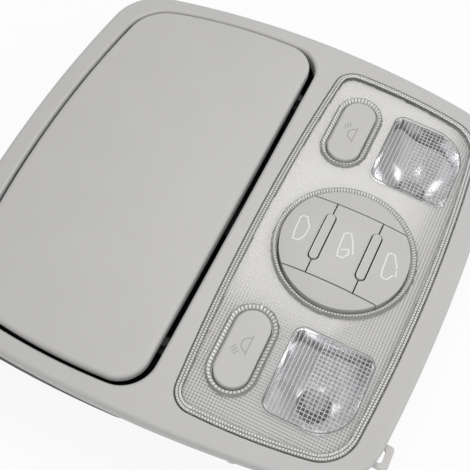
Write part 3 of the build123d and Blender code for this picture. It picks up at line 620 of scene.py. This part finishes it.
lamp = {"x": 32.9 * mm, "y": 58.2 * mm, "half": 4.7 * mm, "radius": 3.3 * mm, "arcSteps": 10,
        "line": 0.42 * mm, "rays": 3,
        "rayX": -3.3, "rayY": 4.0, "stepX": -0.95, "stepY": -0.9, "alongX": -1.1, "alongY": 1.9}  # in mm
for side, key in ((1, "left_map"), (-1, "right_map")):
    base = Vector((lamp["x"], side * lamp["y"]))
    turns = [math.pi / 2 + math.pi * k / lamp["arcSteps"] for k in range(lamp["arcSteps"] + 1)]
    lines = [[base + Vector((0, -lamp["half"])), base + Vector((0, lamp["half"]))]]
    lines.append([base + Vector((math.cos(t), math.sin(t))) * lamp["radius"] for t in turns])
    for k in range(lamp["rays"]):
        rayX, rayY = lamp["rayX"] + lamp["stepX"] * k, lamp["rayY"] + lamp["stepY"] * k
        start = base + Vector((rayX, side * rayY)) * mm
        lines.append([start, start + Vector((lamp["alongX"], side * lamp["alongY"])) * mm])
    node = key + "_button"
    strokes(node + "_sign", lines, node, key + "_key", "engravingShade", lamp["line"])
print("signs made")


# coiled filament on two wires inside each bulb
filament = {"foot": 17.0 * mm, "top": 26.5 * mm, "half": 2.2 * mm, "wire": 0.2 * mm, "wireSides": 8,
            "coil": 0.45 * mm, "coilSides": 10}


def rod(shape, radius, length, sides, place):
    bmesh.ops.create_cone(shape, cap_ends=True, segments=sides, radius1=radius, radius2=radius,
                          depth=length, matrix=place)


for node in ("left_bulb", "right_bulb"):
    low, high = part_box(node)
    middle = flat(low + high) / 2
    shape = bmesh.new()
    tall = filament["top"] - filament["foot"]
    for side in (-1, 1):
        spot = Matrix.Translation((middle.x, middle.y + side * filament["half"], filament["foot"] + tall / 2))
        rod(shape, filament["wire"], tall, filament["wireSides"], spot)
    top = Matrix.Translation((middle.x, middle.y, filament["top"]))
    across = top @ Matrix.Rotation(math.radians(90), 4, "X")
    span = 2 * filament["half"] + 2 * filament["wire"]
    rod(shape, filament["coil"], span, filament["coilSides"], across)
    addPiece(node + "_filament", shape, "steel", "console")


# springs and rubber domes under their buttons, each given a mesh of its own
softPieces = {"left_return_spring": "left_map_press", "right_return_spring": "right_map_press",
              "door_side_pad": "door_side_press", "centre_pad": "centre_press", "rear_pad": "rear_press"}
for node, joint in softPieces.items():
    low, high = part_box(node)
    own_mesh(nodes[node])
print("soft pieces tied to their presses:", len(softPieces))


# floor, light and camera at the photo's angle
floorLook = {"half": 6, "grey": 0.9, "rough": 0.9, "white": 0.9}
floorMaterial, floorTree, floorShader = startMaterial("paleFloor")
floorShader.inputs["Base Color"].default_value = (*[floorLook["grey"]] * 3, 1)
floorShader.inputs["Roughness"].default_value = floorLook["rough"]
rays = floorTree.nodes.new("ShaderNodeLightPath")
seen = rays.outputs["Is Camera Ray"]
for ray in ("Is Glossy Ray", "Is Transmission Ray"):
    also = floorTree.nodes.new("ShaderNodeMath")
    also.operation = "ADD"
    floorTree.links.new(seen, also.inputs[0])
    floorTree.links.new(rays.outputs[ray], also.inputs[1])
    seen = also.outputs["Value"]
whiteShare = spread(floorTree, seen, 0.0, floorLook["white"])  # the rest keeps the shadow
white = floorTree.nodes.new("ShaderNodeEmission")
white.inputs["Color"].default_value = (1, 1, 1, 1)
white.inputs["Strength"].default_value = 1.0
floorMix = floorTree.nodes.new("ShaderNodeMixShader")
floorTree.links.new(whiteShare, floorMix.inputs["Fac"])
floorTree.links.new(floorShader.outputs["BSDF"], floorMix.inputs[1])
floorTree.links.new(white.outputs["Emission"], floorMix.inputs[2])
floorTree.links.new(floorMix.outputs["Shader"], floorTree.nodes["Material Output"].inputs["Surface"])
floorShape = bmesh.new()
bmesh.ops.create_grid(floorShape, x_segments=1, y_segments=1, size=floorLook["half"])
floorMesh = bpy.data.meshes.new("floor")
floorShape.to_mesh(floorMesh)
floorShape.free()
floorMesh.materials.append(floorMaterial)
floor = bpy.data.objects.new("floor", floorMesh)
bpy.context.scene.collection.objects.link(floor)

# a room that is near white overhead and on the lamp side, and mid grey across from it
skyLook = {"toward": (0.7, 0.15, 0.7), "strength": 0.7,
           "greys": ((0.0, 0.5), (0.25, 0.56), (0.6, 0.95), (1.0, 1.0))}
world = bpy.data.worlds.new("studio")
bpy.context.scene.world = world
world.use_nodes = True
skyTree = world.node_tree
skyCoords = skyTree.nodes.new("ShaderNodeTexCoord")
skyTurn = skyTree.nodes.new("ShaderNodeVectorMath")
skyTurn.operation = "DOT_PRODUCT"
skyTurn.inputs[1].default_value = skyLook["toward"]
skyTree.links.new(skyCoords.outputs["Generated"], skyTurn.inputs[0])
skyStops = [(place, (grey, grey, grey)) for place, grey in skyLook["greys"]]
sky = ramp(skyTree, skyTurn.outputs["Value"], skyStops)
background = skyTree.nodes["Background"]
skyTree.links.new(sky, background.inputs["Color"])
background.inputs["Strength"].default_value = skyLook["strength"]

lampAim = Vector((0, 0, 0.04))  # just under the face
lamps = {
    "overhead": {"place": (-0.04, 0.34, 0.8), "size": 0.4, "power": 1.75},
    "front": {"place": (0.03, -0.42, 0.8), "size": 0.2, "power": 1.0},
    "side": {"place": (0.75, 0.1, 0.6), "size": 0.35, "power": 0.9},
}
for name, lampSetting in lamps.items():
    data = bpy.data.lights.new(name, "AREA")
    data.size = lampSetting["size"]
    data.energy = lampSetting["power"]
    light = bpy.data.objects.new(name, data)
    light.location = lampSetting["place"]
    light.rotation_mode = "QUATERNION"
    light.rotation_quaternion = (lampAim - light.location).to_track_quat("-Z", "Y")
    bpy.context.scene.collection.objects.link(light)

view = {"place": (85.0, -198.0, 395.7), "right": (0.9048, 0.4254, 0.0186), "up": (-0.3780, 0.7824, 0.4949),
        "back": (0.1960, -0.4548, 0.8687), "focalPixels": 934.09, "photoPixels": 470, "sensor": 36}
cameraData = bpy.data.cameras.new("camera")
cameraData.lens = view["focalPixels"] / view["photoPixels"] * view["sensor"]
cameraData.sensor_width = view["sensor"]
cameraData.clip_start = 0.01
camera = bpy.data.objects.new("camera", cameraData)
turn = Matrix((view["right"], view["up"], view["back"])).transposed().to_4x4()
camera.matrix_world = Matrix.Translation(Vector(view["place"]) * mm) @ turn
bpy.context.scene.collection.objects.link(camera)
bpy.context.scene.camera = camera
bpy.context.scene.view_settings.view_transform = "Standard"
print("stage set")

bpy.context.view_layer.update()
